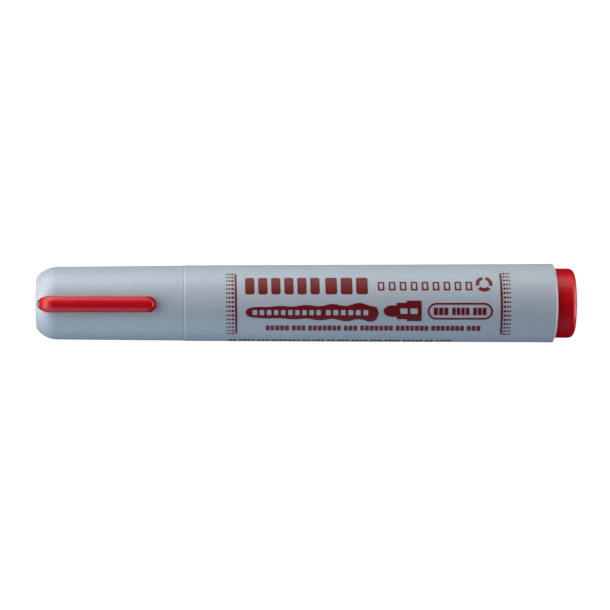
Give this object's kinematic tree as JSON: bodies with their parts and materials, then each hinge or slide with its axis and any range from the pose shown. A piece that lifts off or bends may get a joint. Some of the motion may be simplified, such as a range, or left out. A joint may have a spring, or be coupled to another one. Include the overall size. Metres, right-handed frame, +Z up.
{
  "type": "whiteboard marker",
  "caption": "Capped dry-wipe marker: round tapered barrel, pull-off cap with pocket clip, bullet nib in a nose cone, ink reservoir and push-in end plug.",
  "frame": {"origin": "under the middle of the pen's length, on the surface that it lies on", "axes": "+X from the cap to the end plug, +Z up through the clip, which is on top"},
  "size_m": [0.124, 0.0182, 0.0195],
  "materials": {
    "cap_plastic": "satin moulded plastic, grey-blue, with fine recycled specks",
    "barrel_plastic": "satin moulded plastic, grey-blue, with fine recycled specks",
    "clip_plastic": "glossy moulded plastic, deep red",
    "plug_plastic": "glossy moulded plastic, dark red",
    "liner_plastic": "natural milky plastic",
    "nose_plastic": "satin moulded plastic, grey",
    "nib_fibre": "pressed fibre, soaked with red ink",
    "reservoir_fibre": "bonded fibre, soaked with red ink",
    "reservoir_film": "thin clear-white film",
    "print_ink": "screen-printed dark red ink"
  },
  "bodies": {
    "barrel": {"barrel": "barrel_plastic", "nose_cone": "nose_plastic", "nib": "nib_fibre", "reservoir_core": "reservoir_fibre", "reservoir_film": "reservoir_film"},
    "cap": {"cap_shell": "cap_plastic", "inner_cap": "liner_plastic"},
    "clip": {"clip": "clip_plastic"},
    "plug": {"end_plug": "plug_plastic"}
  },
  "joints": [
    {"name": "cap_pull", "type": "slide", "parent": "barrel", "child": "cap", "axis": [-1, 0, 0], "range_m": [0, 0.04]},
    {"name": "clip_flex", "type": "hinge", "parent": "cap", "child": "clip", "pos_m": [-0.0594, 0, 0.0145], "axis": [0, -1, 0], "range_deg": [0, 3], "stiffness_Nm_per_rad": 1.2},
    {"name": "plug_pull", "type": "slide", "parent": "barrel", "child": "plug", "axis": [1, 0, 0], "range_m": [0, 0.012]}
  ]
}
